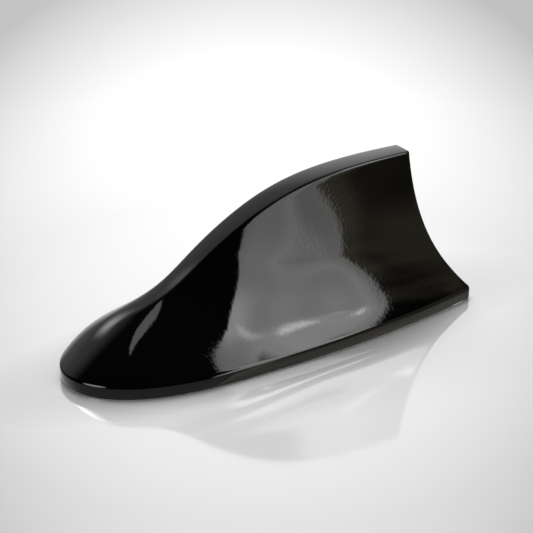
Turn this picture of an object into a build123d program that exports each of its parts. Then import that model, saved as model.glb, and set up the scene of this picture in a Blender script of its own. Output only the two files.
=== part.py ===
"""Shark fin aerial, stick-on roof type: gloss cover over a sealed base with its inner parts.

Millimetres, +Z up, nose toward -X, resting on the foot of its adhesive pad at z = 0.
"""
import math
import os

from build123d import *

# Cover: overall size and the plan outline
LENGTH = 166.0
WIDTH = 58.0
COVER_HEIGHT = 61.6
TAIL_WIDTH = 32.5
WIDEST_FROM_NOSE = 52.0
NOSE_FULLNESS = 0.46
SHOULDER_FULLNESS = 0.72
TAIL_TAPER = 0.255
TAIL_CORNER = 2.0

# Cover: rim, spine and flanks
SKIRT_LIFT = 0.4
RIM_HEIGHT = 4.4
RIM_ROUND = 1.0
WALL = 2.0
SPINE_WIDTH_FRONT = 4.0
SPINE_WIDTH_MIDDLE = 10.4
SPINE_WIDTH_REAR = 9.4
SPINE_CROWN = 0.15
CREASE_ROUND = 0.9
TRAIL_ROUND = 1.0
KNEE_FROM_NOSE = 46.0
KNEE_HEIGHT = 32.3
KNEE_SLOPE = 0.765
NOSE_SLOPE = 1.38
NOSE_REACH = 0.36
SPINE_REAR_FROM_TAIL = 23.7
NOSE_BLEND_START = 0.0
NOSE_BLEND_END = 100.0
RIB_OVERRUN = 12.0
FLANK_DROP = 0.62
FLANK_LEAN = 0.045
FLARE_RUN = 0.62
FLARE_SLOPE = 0.42
TRAIL_TOP_RUN = 3.2
TRAIL_OVERRUN = 1.5
TRAIL_FOOT_SLOPE = 1.0

# Adhesive pad, base plate and perimeter seal
PAD_THICKNESS = 1.0
PAD_MARGIN = 3.0
PLATE_THICKNESS = 2.0
PLATE_CLEARANCE = 0.3
SEAL_WIDTH = 1.4
SEAL_HEIGHT = 1.1
SEAL_CLEARANCE = 0.12

# Base screws: countersunk tapping screws up into the cover's bosses
BASE_SCREW_D = 2.6
BASE_SCREW_LENGTH = 8.0
BASE_SCREW_HEAD_D = 5.0
BASE_SCREW_HEAD_H = 1.3
BOSS_D = 6.0
FRONT_BOSS_FROM_NOSE = 41.5
FRONT_BOSS_SPREAD = 24.8
REAR_BOSS_FROM_TAIL = 33.0
REAR_BOSS_SPREAD = 15.0
THREAD_CLEARANCE = 0.05

# Cable outlet
OUTLET_FROM_NOSE = 26.5
GROMMET_BORE_D = 3.2
GROMMET_NECK_D = 8.0
GROMMET_FLANGE_D = 11.0
GROMMET_FLANGE_H = 0.9
GROMMET_CLEARANCE = 0.1
PAD_OUTLET_D = 14.0

# Circuit board and what it carries
BOARD_LENGTH = 46.0
BOARD_WIDTH = 24.0
BOARD_THICKNESS = 1.6
BOARD_FROM_NOSE = 49.0
STANDOFF_HEIGHT = 3.0
STANDOFF_D = 4.8
BOARD_SCREW_D = 2.0
BOARD_SCREW_LENGTH = 4.4
BOARD_SCREW_HEAD_D = 3.6
BOARD_SCREW_HEAD_H = 1.3
BOARD_SCREW_INSET = 3.0
CAN_LENGTH = 16.0
CAN_WIDTH = 13.0
CAN_HEIGHT = 4.2
CAN_SHEET = 0.3
CHIP_LENGTH = 5.0
CHIP_WIDTH = 4.0
CHIP_HEIGHT = 1.5
ELECTROLYTIC_D = 5.0
ELECTROLYTIC_H = 5.4
CHOKE_D = 5.6
CHOKE_H = 4.0
SMD_LENGTH = 2.0
SMD_WIDTH = 1.25
SMD_CAPACITOR_H = 1.1
SMD_RESISTOR_H = 0.5
POST_D = 1.2
POST_HEIGHT = 3.5
POST_PITCH = 4.5

# Radiating parts: coil, roof plate and their carrier
WIRE_D = 0.8
COIL_RADIUS = 4.3
COIL_PITCH = 1.6
COIL_TURNS = 8
LEAD_BEND = 0.8
LEAD_TAG = 6.0
FORMER_FLANGE_D = 10.4
FORMER_FLANGE_H = 1.2
CARRIER_THICKNESS = 2.0
CARRIER_FOOT_H = 2.4
CARRIER_FOOT_WIDTH = 15.0
CARRIER_PAD_H = 2.6
CARRIER_SCREW_D = 2.6
CARRIER_SCREW_LENGTH = 6.0
CARRIER_SCREW_HEAD_D = 4.6
CARRIER_SCREW_HEAD_H = 1.6
CARRIER_GAP = 6.5
ROOF_SHEET = 0.4
ROOF_CLEARANCE = 0.1
ROOF_DEPTH = 17.0
FOAM_LENGTH = 9.0
FOAM_WIDTH = 2.6
FOAM_CLEARANCE = 0.2

# Derived frame of the cover
NOSE_X = -LENGTH / 2
TAIL_X = LENGTH / 2
RIM_TOP = SKIRT_LIFT + RIM_HEIGHT
TOP_Z = SKIRT_LIFT + COVER_HEIGHT
WIDEST_X = NOSE_X + WIDEST_FROM_NOSE
SPINE_REAR_X = TAIL_X - SPINE_REAR_FROM_TAIL
KNEE_X = NOSE_X + KNEE_FROM_NOSE
KNEE_Z = SKIRT_LIFT + KNEE_HEIGHT


def cubic(points, t):
    """Point of a cubic curve with four control points."""
    s = 1 - t
    weights = (s**3, 3 * s * s * t, 3 * s * t * t, t**3)
    return tuple(sum(w * p[i] for w, p in zip(weights, points)) for i in range(2))


def value_at(points, x):
    """Second coordinate of a cubic curve where its first one is x."""
    low, high = 0.0, 1.0
    for _ in range(50):
        mid = (low + high) / 2
        if cubic(points, mid)[0] < x:
            low = mid
        else:
            high = mid
    return cubic(points, low)[1]


def outline_points(inset=0.0):
    """Control points of the nose and tail halves of one side of the plan outline."""
    nose = NOSE_X + inset
    tail = TAIL_X - inset
    half = WIDTH / 2 - inset
    tail_half = TAIL_WIDTH / 2 - inset
    front = WIDEST_X - nose
    rear = tail - WIDEST_X
    nose_side = (
        (nose, 0),
        (nose, NOSE_FULLNESS * half),
        (WIDEST_X - SHOULDER_FULLNESS * front, half),
        (WIDEST_X, half),
    )
    tail_side = (
        (WIDEST_X, half),
        (WIDEST_X + 0.35 * rear, half),
        (tail - 0.35 * rear, tail_half + 0.35 * rear * TAIL_TAPER),
        (tail, tail_half),
    )
    return nose_side, tail_side


def half_width(x, inset=0.0):
    """Half width of the plan outline, run on straight past the tail."""
    nose_side, tail_side = outline_points(inset)
    if x < WIDEST_X:
        return value_at(nose_side, x)
    end_x, end_y = tail_side[3]
    if x > end_x:
        return end_y - (x - end_x) * TAIL_TAPER
    return value_at(tail_side, x)


def outline_face(inset=0.0, z=0.0):
    """Flat face inside the plan outline."""
    nose_side, tail_side = outline_points(inset)
    edges = []
    for side in (1, -1):
        for points in (nose_side, tail_side):
            edges.append(Edge.make_bezier(*[(x, side * y, z) for x, y in points]))
    end_x, end_y = tail_side[3]
    edges.append(Edge.make_line((end_x, end_y, z), (end_x, -end_y, z)))
    face = Face(Wire(edges))
    corners = [v for v in face.vertices() if v.X > end_x - 0.01]
    return face.fillet_2d(max(TAIL_CORNER - 0.5 * inset, 0.6), corners)


def prism(inset, z_low, z_high):
    """Upright block on the plan outline."""
    return Solid.extrude(outline_face(inset, z_low), Vector(0, 0, z_high - z_low))


def spine_z(x):
    """Height of the spine's middle line, level behind its rear end, straight ahead of the nose."""
    if x < NOSE_X:
        return RIM_TOP + (x - NOSE_X) * NOSE_SLOPE
    front = KNEE_X - NOSE_X
    rear = SPINE_REAR_X - KNEE_X
    if x < KNEE_X:
        lower = (
            (NOSE_X, RIM_TOP),
            (NOSE_X + NOSE_REACH * front, RIM_TOP + NOSE_REACH * front * NOSE_SLOPE),
            (KNEE_X - 0.36 * front, KNEE_Z - 0.36 * front * KNEE_SLOPE),
            (KNEE_X, KNEE_Z),
        )
        return value_at(lower, x)
    if x > SPINE_REAR_X:
        return TOP_Z
    upper = (
        (KNEE_X, KNEE_Z),
        (KNEE_X + 0.33 * rear, KNEE_Z + 0.33 * rear * KNEE_SLOPE),
        (SPINE_REAR_X - 0.5 * rear, TOP_Z),
        (SPINE_REAR_X, TOP_Z),
    )
    return value_at(upper, x)


def ease(x, start, end):
    """Smooth step from 0 to 1."""
    t = min(max((x - start) / (end - start), 0.0), 1.0)
    return t * t * (3 - 2 * t)


def spine_half(x):
    """Half width of the flat spine at x."""
    share = (x - NOSE_X) / (SPINE_REAR_X - NOSE_X)
    front = SPINE_WIDTH_FRONT * (1 - share) * (1 - 2 * share)
    middle = SPINE_WIDTH_MIDDLE * 4 * share * (1 - share)
    rear = SPINE_WIDTH_REAR * share * (2 * share - 1)
    return (front + middle + rear) / 2


def rib_points(x, inset=0.0):
    """One half of the cover's cross section at x: dome at the nose, thin fin with flared flanks behind.

    Returns the spine's edge, the crease's corner, and the four control points of the flank.
    """
    blend = ease(x - NOSE_X, NOSE_BLEND_START, NOSE_BLEND_END)
    w = spine_half(x) - 0.9 * inset * blend
    top = spine_z(x) - 1.15 * inset
    # the dome falls away as a parabola that meets the rim's top edge on the outline
    near = max(x, NOSE_X + 2.0)
    b = half_width(near)
    bow = (spine_z(near) - RIM_TOP) / b**2
    b_squared = b**2 * (1 - (near - x) / 2.0)
    reach = math.sqrt(b_squared + RIB_OVERRUN**2)
    third = (reach - w) / 3
    dome = (
        (w + third, top - bow * w * w - 2 * bow * w * third),
        (reach - third, top - bow * reach**2 + 2 * bow * reach * third),
        (reach, top - bow * reach**2),
    )
    crown = (1 - blend) * bow + blend * SPINE_CROWN / spine_half(x) ** 2
    corner = (w, top - crown * w * w)
    drop = corner[1] - RIM_TOP
    run = b - w
    fin = (
        (w + FLANK_DROP * drop * FLANK_LEAN, corner[1] - FLANK_DROP * drop),
        (b - FLARE_RUN * run - 0.5 * inset, RIM_TOP + FLARE_RUN * run * FLARE_SLOPE - 0.85 * inset),
    )
    first = tuple((1 - blend) * d + blend * f for d, f in zip(dome[0], fin[0]))
    second = tuple((1 - blend) * d + blend * f for d, f in zip(dome[1], fin[1]))
    # the crease is rounded by the same step along the spine and along the flank
    lean = math.hypot(first[0] - corner[0], first[1] - corner[1])
    start = tuple(c + CREASE_ROUND * (f - c) / lean for c, f in zip(corner, first))
    edge = (w - CREASE_ROUND, top - crown * (w - CREASE_ROUND) ** 2)
    end = dome[2]
    if x > near - 0.001 and blend > 0:
        # the flank runs through the rim's top edge and on past it
        rim = (b - 0.45 * inset * blend, RIM_TOP - inset * (1.15 - 0.25 * blend))
        t = (b - w) / (reach - w)
        s = 1 - t
        known = (s**3, 3 * s * s * t, 3 * s * t * t)
        rest = [sum(k * p[i] for k, p in zip(known, (start, first, second))) for i in range(2)]
        end = tuple((rim[i] - rest[i]) / t**3 for i in range(2))
    return edge, corner, start, first, second, end


def rib(x, inset=0.0):
    """Closed cross section of the cover at x, run down below the ground."""
    edge, corner, start, first, second, end = rib_points(x, inset)
    apex = 2 * (spine_z(x) - 1.15 * inset) - edge[1]
    floor = -60.0
    edges = [Edge.make_bezier((x, -edge[0], edge[1]), (x, 0, apex), (x, edge[0], edge[1]))]
    for side in (1, -1):
        edges.append(Edge.make_bezier(*[(x, side * y, z) for y, z in (edge, corner, start)]))
        edges.append(Edge.make_bezier(*[(x, side * y, z) for y, z in (start, first, second, end)]))
        edges.append(Edge.make_line((x, side * end[0], end[1]), (x, side * end[0], floor)))
    edges.append(Edge.make_line((x, end[0], floor), (x, -end[0], floor)))
    return Wire(edges)


NOSE_STATIONS = (-2, 2, 6, 11, 17, 24, 32, 42, 54)
FIN_STATION_COUNT = 8


def rib_stations():
    """Places of the cross sections: close together round the nose, then even to past the tail."""
    last = NOSE_STATIONS[-1]
    step = (LENGTH + 4 - last) / FIN_STATION_COUNT
    places = [float(d) for d in NOSE_STATIONS]
    places += [last + step * (i + 1) for i in range(FIN_STATION_COUNT)]
    return [NOSE_X + d for d in places]


def fin_block(inset=0.0):
    """Solid inside the cover's outer faces, or inside its wall when inset."""
    hood = Solid.make_loft([rib(x, inset) for x in rib_stations()])
    body = prism(inset, SKIRT_LIFT - (20 if inset else 0), TOP_Z + 5) & hood
    foot = (TAIL_X - inset, RIM_TOP - 0.9 * inset)
    high = (SPINE_REAR_X - inset, TOP_Z + TRAIL_OVERRUN)
    drop = high[1] - foot[1]
    run = foot[0] - high[0]
    trail = Edge.make_bezier(
        (high[0], 0, high[1]),
        (high[0] + TRAIL_TOP_RUN, 0, high[1] - 0.55 * drop),
        (foot[0] - 0.45 * run, 0, foot[1] + 0.45 * run * TRAIL_FOOT_SLOPE),
        (foot[0], 0, foot[1]),
    )
    over = (high[0] - 0.2 * TRAIL_TOP_RUN, 0, high[1] + 0.11 * drop)
    past = (foot[0] + 4, 0, foot[1] - 4 * TRAIL_FOOT_SLOPE)
    edges = [
        Edge.make_line(over, (high[0], 0, high[1])),
        trail,
        Edge.make_line((foot[0], 0, foot[1]), past),
        Edge.make_line(past, (past[0] + 40, 0, past[2])),
        Edge.make_line((past[0] + 40, 0, past[2]), (past[0] + 40, 0, over[2])),
        Edge.make_line((past[0] + 40, 0, over[2]), over),
    ]
    face = Face(Wire(edges))
    cutter = Solid.extrude(face, Vector(0, WIDTH, 0)).moved(Location((0, -WIDTH / 2, 0)))
    return body - cutter


def trailing_edges(body):
    """Edges up both sides of the rear face."""
    boxes = [(face, face.bounding_box()) for face in body.faces()]
    rear = [f for f, b in boxes if b.min.X > SPINE_REAR_X - 1 and b.size.Z > 0.3 * COVER_HEIGHT]
    return [e for f in rear for e in f.edges() if e.bounding_box().size.Z > 0.2 * COVER_HEIGHT]


def rim_edges(body):
    """Edges along the top of the rim."""
    boxes = [(face, face.bounding_box()) for face in body.faces()]
    walls = [f for f, b in boxes if b.max.Z < RIM_TOP + 2 and b.size.Z > 1]
    upper = [f for f, b in boxes if b.max.Z > RIM_TOP + 3]
    above = [e for f in upper for e in f.edges()]
    return [e for f in walls for e in f.edges() if any(e.is_same(other) for other in above)]


def rod(d, height, x=0.0, y=0.0, z=0.0):
    """Upright cylinder standing at z."""
    return Pos(x, y, z) * Cylinder(d / 2, height, align=(Align.CENTER, Align.CENTER, Align.MIN))


def block(length, width, height, x=0.0, y=0.0, z=0.0):
    """Box standing at z, centred on x and y."""
    return Pos(x, y, z) * Box(length, width, height, align=(Align.CENTER, Align.CENTER, Align.MIN))


def slab(points, thickness):
    """Flat plate in the middle plane from (x, z) corner points, the first run of them a curve."""
    curve, corners = points
    edges = [Edge.make_spline([(x, 0, z) for x, z in curve])]
    ring = [curve[-1]] + corners + [curve[0]]
    for (x1, z1), (x2, z2) in zip(ring, ring[1:]):
        edges.append(Edge.make_line((x1, 0, z1), (x2, 0, z2)))
    face = Face(Wire(edges))
    return Solid.extrude(face, Vector(0, thickness, 0)).moved(Location((0, -thickness / 2, 0)))


def under_spine(x_front, x_rear, gap):
    """Points of a line that follows the spine from front to rear, the gap below it."""
    xs = [x_front + (x_rear - x_front) * i / 6 for i in range(7)]
    return [(x, spine_z(x) - gap) for x in xs]


def pan_screw(d, length, head_d, head_h, x, y, z):
    """Pan head tapping screw with its head seated at z and its shank pointing down."""
    body = rod(d, length - 1.0, x, y, z - length + 1.0) + rod(head_d, head_h, x, y, z)
    tip = Pos(x, y, z - length + 0.5) * Cone(0.15 * d, d / 2, 1.0)
    slot = block(0.55 * head_d, 0.16 * head_d, head_h, x, y, z + 0.45 * head_h)
    cross = block(0.16 * head_d, 0.55 * head_d, head_h, x, y, z + 0.45 * head_h)
    return (body + tip - slot - cross).solid()


def write(node, shape):
    """Writes one node."""
    export_step(shape, "parts/" + node + ".step")


os.makedirs("parts", exist_ok=True)

# Levels, from the ground up
PLATE_LOW = PAD_THICKNESS
PLATE_TOP = PLATE_LOW + PLATE_THICKNESS
BOARD_LOW = PLATE_TOP + STANDOFF_HEIGHT
BOARD_TOP = BOARD_LOW + BOARD_THICKNESS
FOOT_LOW = PLATE_TOP + CARRIER_PAD_H
FOOT_TOP = FOOT_LOW + CARRIER_FOOT_H

# Places along the car
FRONT_BOSS_X = NOSE_X + FRONT_BOSS_FROM_NOSE
REAR_BOSS_X = TAIL_X - REAR_BOSS_FROM_TAIL
OUTLET_X = NOSE_X + OUTLET_FROM_NOSE
BOARD_FRONT_X = NOSE_X + BOARD_FROM_NOSE
BOARD_REAR_X = BOARD_FRONT_X + BOARD_LENGTH
BOARD_X = (BOARD_FRONT_X + BOARD_REAR_X) / 2
BASE_SCREWS_XY = []
for boss_x, spread in ((FRONT_BOSS_X, FRONT_BOSS_SPREAD), (REAR_BOSS_X, REAR_BOSS_SPREAD)):
    for side in (1, -1):
        BASE_SCREWS_XY.append((boss_x, side * spread / 2))
BOARD_SCREWS_XY = []
for hole_x in (BOARD_FRONT_X + BOARD_SCREW_INSET, BOARD_REAR_X - BOARD_SCREW_INSET):
    for side in (1, -1):
        BOARD_SCREWS_XY.append((hole_x, side * (BOARD_WIDTH / 2 - BOARD_SCREW_INSET)))
CARRIER_FRONT_X = BOARD_REAR_X + 4.0
CARRIER_REAR_X = REAR_BOSS_X - BOSS_D / 2 - 2.0
CARRIER_SCREWS_X = (CARRIER_FRONT_X + 5.0, CARRIER_REAR_X - 5.0)
CARRIER_SCREW_Y = CARRIER_FOOT_WIDTH / 2 - 3.2

# Fin cover: one moulding with its rim, hollow, with four screw bosses
inside = fin_block(WALL)
outside = fin_block()
outside = outside.fillet(TRAIL_ROUND, trailing_edges(outside))
outside = outside.fillet(RIM_ROUND, rim_edges(outside))
cover = outside - inside
bosses = None
for x, y in BASE_SCREWS_XY:
    post = rod(BOSS_D, 40, x, y, PLATE_TOP)
    bosses = post if bosses is None else bosses + post
cover = cover + (bosses & inside)
pilot_top = PLATE_LOW + BASE_SCREW_LENGTH + 0.4
for x, y in BASE_SCREWS_XY:
    pilot_d = BASE_SCREW_D + 2 * THREAD_CLEARANCE
    cover = cover - rod(pilot_d, pilot_top - PLATE_TOP + 1, x, y, PLATE_TOP - 1)
write("fin_cover", cover.solid())

# Base plate: sealing step, board standoffs, carrier pads, screw and cable holes
plate_inset = WALL + PLATE_CLEARANCE
step_inset = WALL + 2 * SEAL_CLEARANCE + SEAL_WIDTH
plate = prism(plate_inset, PLATE_LOW, PLATE_TOP - SEAL_HEIGHT) + prism(step_inset, PLATE_LOW, PLATE_TOP)
for x, y in BOARD_SCREWS_XY:
    plate = plate + rod(STANDOFF_D, STANDOFF_HEIGHT, x, y, PLATE_TOP)
for x in CARRIER_SCREWS_X:
    plate = plate + block(7.0, CARRIER_FOOT_WIDTH, CARRIER_PAD_H, x, 0, PLATE_TOP)
for x, y in BOARD_SCREWS_XY:
    depth = BOARD_SCREW_LENGTH - BOARD_THICKNESS + 0.3
    plate = plate - rod(BOARD_SCREW_D + 2 * THREAD_CLEARANCE, depth, x, y, BOARD_LOW - depth)
for x in CARRIER_SCREWS_X:
    for side in (1, -1):
        depth = CARRIER_SCREW_LENGTH - CARRIER_FOOT_H + 0.3
        hole_d = CARRIER_SCREW_D + 2 * THREAD_CLEARANCE
        plate = plate - rod(hole_d, depth, x, side * CARRIER_SCREW_Y, FOOT_LOW - depth)
for x, y in BASE_SCREWS_XY:
    plate = plate - rod(BASE_SCREW_D + 0.4, PLATE_THICKNESS, x, y, PLATE_LOW)
    sink = Cone(BASE_SCREW_HEAD_D / 2 + 0.1, BASE_SCREW_D / 2 + 0.2, BASE_SCREW_HEAD_H)
    plate = plate - Pos(x, y, PLATE_LOW + BASE_SCREW_HEAD_H / 2) * sink
plate = plate - rod(GROMMET_NECK_D + 2 * GROMMET_CLEARANCE, PLATE_THICKNESS, OUTLET_X, 0, PLATE_LOW)
write("base_plate", plate.solid())

# Perimeter seal: rubber ring in the plate's sealing step
seal = prism(WALL + SEAL_CLEARANCE, PLATE_TOP - SEAL_HEIGHT, PLATE_TOP)
seal = seal - prism(WALL + SEAL_CLEARANCE + SEAL_WIDTH, PLATE_TOP - SEAL_HEIGHT - 1, PLATE_TOP + 1)
write("perimeter_seal", seal.solid())

# Adhesive pad: foam sheet under the plate, open around the cable outlet
pad = prism(plate_inset + PAD_MARGIN, 0, PAD_THICKNESS)
pad = pad - rod(PAD_OUTLET_D, PAD_THICKNESS, OUTLET_X, 0, 0)
write("adhesive_pad", pad.solid())

# Base screws
screws = []
for x, y in BASE_SCREWS_XY:
    head = Cone(BASE_SCREW_HEAD_D / 2, BASE_SCREW_D / 2, BASE_SCREW_HEAD_H)
    head = Pos(x, y, PLATE_LOW + BASE_SCREW_HEAD_H / 2) * head
    shank_length = BASE_SCREW_LENGTH - 1.0 - BASE_SCREW_HEAD_H
    shank = rod(BASE_SCREW_D, shank_length, x, y, PLATE_LOW + BASE_SCREW_HEAD_H)
    tip = Cone(BASE_SCREW_D / 2, 0.15 * BASE_SCREW_D, 1.0)
    tip = Pos(x, y, PLATE_LOW + BASE_SCREW_LENGTH - 0.5) * tip
    slot = block(0.55 * BASE_SCREW_HEAD_D, 0.14 * BASE_SCREW_HEAD_D, 0.7, x, y, PLATE_LOW)
    cross = block(0.14 * BASE_SCREW_HEAD_D, 0.55 * BASE_SCREW_HEAD_D, 0.7, x, y, PLATE_LOW)
    screws.append((head + shank + tip - slot - cross).solid())
write("base_screws", Compound(children=screws))

# Cable grommet: the lead's inlet, its bore left open
grommet = rod(GROMMET_NECK_D, PLATE_THICKNESS, OUTLET_X, 0, PLATE_LOW)
grommet = grommet + rod(GROMMET_FLANGE_D, GROMMET_FLANGE_H, OUTLET_X, 0, PLATE_LOW - GROMMET_FLANGE_H)
grommet = grommet + rod(GROMMET_FLANGE_D, GROMMET_FLANGE_H, OUTLET_X, 0, PLATE_TOP)
grommet = grommet - rod(GROMMET_BORE_D, 20, OUTLET_X, 0, -5)
write("cable_grommet", grommet.solid())

# Circuit board on its standoffs
board = block(BOARD_LENGTH, BOARD_WIDTH, BOARD_THICKNESS, BOARD_X, 0, BOARD_LOW)
board = fillet(board.edges().filter_by(Axis.Z), 1.5)
for x, y in BOARD_SCREWS_XY:
    board = board - rod(BOARD_SCREW_D + 0.3, BOARD_THICKNESS, x, y, BOARD_LOW)
POST_X = BOARD_FRONT_X + 2.4
POSTS_Y = (-POST_PITCH, 0.0, POST_PITCH)
for y in POSTS_Y:
    board = board - rod(POST_D + 0.2, BOARD_THICKNESS, POST_X, y, BOARD_LOW)
write("circuit_board", board.solid())

# Board screws
screws = []
for x, y in BOARD_SCREWS_XY:
    sizes = (BOARD_SCREW_D, BOARD_SCREW_LENGTH, BOARD_SCREW_HEAD_D, BOARD_SCREW_HEAD_H)
    screws.append(pan_screw(*sizes, x, y, BOARD_TOP))
write("board_screws", Compound(children=screws))

# Lead posts: three pins through the board for the lead's cores and the supply
posts = []
for y in POSTS_Y:
    pin = rod(POST_D, POST_HEIGHT + BOARD_THICKNESS + 1.0, POST_X, y, BOARD_LOW - 1.0)
    posts.append((pin + rod(2 * POST_D, 0.6, POST_X, y, BOARD_TOP)).solid())
write("lead_posts", Compound(children=posts))

# Shield can over the amplifier chip
CAN_X = BOARD_FRONT_X + 0.34 * BOARD_LENGTH
can = block(CAN_LENGTH, CAN_WIDTH, CAN_HEIGHT, CAN_X, 0, BOARD_TOP)
can_room = (CAN_LENGTH - 2 * CAN_SHEET, CAN_WIDTH - 2 * CAN_SHEET, CAN_HEIGHT - CAN_SHEET)
can = can - block(*can_room, CAN_X, 0, BOARD_TOP)
write("shield_can", can.solid())
chip = block(CHIP_LENGTH, CHIP_WIDTH, CHIP_HEIGHT - 0.1, CAN_X, 0, BOARD_TOP + 0.1)
for i in range(4):
    lead_x = CAN_X + (i - 1.5) * CHIP_LENGTH / 4
    chip = chip + block(0.42, CHIP_WIDTH + 2.0, 0.18, lead_x, 0, BOARD_TOP)
write("amplifier_chip", chip.solid())

# Small board parts: smoothing capacitor, supply choke, chip capacitors and chip resistors
PART_X = BOARD_FRONT_X + 0.60 * BOARD_LENGTH
PART_Y = BOARD_WIDTH / 2 - 4.6
electrolytic = rod(ELECTROLYTIC_D, ELECTROLYTIC_H, PART_X, PART_Y, BOARD_TOP)
foot_side = ELECTROLYTIC_D + 0.3
electrolytic = electrolytic + block(foot_side, foot_side, 0.9, PART_X, PART_Y, BOARD_TOP)
write("smoothing_capacitor", electrolytic.solid())
choke = rod(CHOKE_D, 0.8, PART_X, -PART_Y, BOARD_TOP)
choke = choke + rod(0.66 * CHOKE_D, CHOKE_H, PART_X, -PART_Y, BOARD_TOP)
choke = choke + rod(CHOKE_D, 0.8, PART_X, -PART_Y, BOARD_TOP + CHOKE_H - 0.8)
write("supply_choke", choke.solid())
chip_caps = []
chip_resistors = []
for i in range(3):
    x = CAN_X + (i - 1) * 3.6
    y = BOARD_WIDTH / 2 - 3.2
    chip_caps.append(block(SMD_LENGTH, SMD_WIDTH, SMD_CAPACITOR_H, x, y, BOARD_TOP).solid())
    chip_resistors.append(block(SMD_LENGTH, SMD_WIDTH, SMD_RESISTOR_H, x, -y, BOARD_TOP).solid())
write("chip_capacitors", Compound(children=chip_caps))
write("chip_resistors", Compound(children=chip_resistors))

# Coil former standing on the board
COIL_X = BOARD_REAR_X - 8.5
COIL_HEIGHT = COIL_TURNS * COIL_PITCH
FORMER_D = 2 * COIL_RADIUS - WIRE_D - 0.4
COIL_LOW = BOARD_TOP + FORMER_FLANGE_H + WIRE_D / 2 + 0.3
FORMER_TOP = COIL_LOW + COIL_HEIGHT + WIRE_D / 2 + 0.3 + FORMER_FLANGE_H
former = rod(FORMER_D, FORMER_TOP - BOARD_TOP, COIL_X, 0, BOARD_TOP)
former = former + rod(FORMER_FLANGE_D, FORMER_FLANGE_H, COIL_X, 0, BOARD_TOP)
former = former + rod(FORMER_FLANGE_D, FORMER_FLANGE_H, COIL_X, 0, FORMER_TOP - FORMER_FLANGE_H)
notch_width = 2 * (LEAD_BEND + WIRE_D)
notch = block(notch_width, 4.0, FORMER_TOP - BOARD_TOP + 2, COIL_X, -COIL_RADIUS - 1.2, BOARD_TOP - 1)
former = former - notch
write("coil_former", former.solid())

# Roof plate: folded sheet over the carrier's top edge
ROOF_FRONT_X = COIL_X - 6.0
ROOF_REAR_X = SPINE_REAR_X - WALL - 6.0
ROOF_LOW = spine_z(ROOF_REAR_X) - CARRIER_GAP - ROOF_DEPTH
roof_gap = CARRIER_GAP - ROOF_CLEARANCE - ROOF_SHEET
roof_half = CARRIER_THICKNESS / 2 + ROOF_CLEARANCE + ROOF_SHEET
roof_line = under_spine(ROOF_FRONT_X, ROOF_REAR_X, roof_gap)
roof = slab((roof_line, [(ROOF_REAR_X, ROOF_LOW), (ROOF_FRONT_X, ROOF_LOW)]), 2 * roof_half)
room_line = under_spine(ROOF_FRONT_X - 1, ROOF_REAR_X + 1, CARRIER_GAP - ROOF_CLEARANCE)
room_low = [(ROOF_REAR_X + 1, ROOF_LOW - 1), (ROOF_FRONT_X - 1, ROOF_LOW - 1)]
roof = roof - slab((room_line, room_low), 2 * (roof_half - ROOF_SHEET))
write("roof_plate", roof.solid())

# Carrier: upright web on a screwed foot
web_line = under_spine(ROOF_FRONT_X, ROOF_REAR_X, CARRIER_GAP)
web_low = [
    (ROOF_REAR_X, ROOF_LOW - 6),
    (CARRIER_REAR_X, ROOF_LOW - 16),
    (CARRIER_REAR_X, FOOT_LOW),
    (CARRIER_FRONT_X, FOOT_LOW),
    (CARRIER_FRONT_X, ROOF_LOW - 8),
    (ROOF_FRONT_X, ROOF_LOW - 2),
]
carrier = slab((web_line, web_low), CARRIER_THICKNESS)
foot_length = CARRIER_REAR_X - CARRIER_FRONT_X
foot_x = (CARRIER_REAR_X + CARRIER_FRONT_X) / 2
carrier = carrier + block(foot_length, CARRIER_FOOT_WIDTH, CARRIER_FOOT_H, foot_x, 0, FOOT_LOW)
for x in CARRIER_SCREWS_X:
    for side in (1, -1):
        carrier = carrier - rod(CARRIER_SCREW_D + 0.3, CARRIER_FOOT_H, x, side * CARRIER_SCREW_Y, FOOT_LOW)
write("element_carrier", carrier.solid())

# Carrier screws
screws = []
for x in CARRIER_SCREWS_X:
    for side in (1, -1):
        y = side * CARRIER_SCREW_Y
        sizes = (CARRIER_SCREW_D, CARRIER_SCREW_LENGTH, CARRIER_SCREW_HEAD_D, CARRIER_SCREW_HEAD_H)
        screws.append(pan_screw(*sizes, x, y, FOOT_TOP))
write("carrier_screws", Compound(children=screws))

# Loading coil: one wire, up from the board, round the former and up the side of the roof plate
lead_y = -(roof_half + WIRE_D / 2 + 0.05)
helix = Pos(COIL_X, 0, COIL_LOW) * Rot(0, 0, -90) * Edge.make_helix(COIL_PITCH, COIL_HEIGHT, COIL_RADIUS)
coil_start = helix @ 0
coil_end = helix @ 1
foot = Vector(COIL_X - LEAD_BEND, -COIL_RADIUS, BOARD_TOP)
low_bend = Vector(foot.X, foot.Y, COIL_LOW - LEAD_BEND)
high_bend = Vector(COIL_X + LEAD_BEND, -COIL_RADIUS, coil_end.Z + LEAD_BEND)
rise_low = Vector(high_bend.X, high_bend.Y, FORMER_TOP + 0.5)
rise_high = Vector(high_bend.X, lead_y, ROOF_LOW - 1.5)
tag_top = rise_high + Vector(0, 0, LEAD_TAG)
pull = Vector(0, 0, 0.55 * LEAD_BEND)
along = (helix % 0) * (0.55 * LEAD_BEND)
swing = Vector(0, 0, 0.4 * (rise_high.Z - rise_low.Z))
wire_path = Wire([
    Edge.make_line(foot, low_bend),
    Edge.make_bezier(low_bend, low_bend + pull, coil_start - along, coil_start),
    helix,
    Edge.make_bezier(coil_end, coil_end + along, high_bend - pull, high_bend),
    Edge.make_line(high_bend, rise_low),
    Edge.make_bezier(rise_low, rise_low + swing, rise_high - swing, rise_high),
    Edge.make_line(rise_high, tag_top),
])
wire_end = Plane(origin=foot, z_dir=(0, 0, 1)) * Circle(WIRE_D / 2)
coil = sweep(wire_end, path=wire_path)
write("loading_coil", coil.solid())

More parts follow.
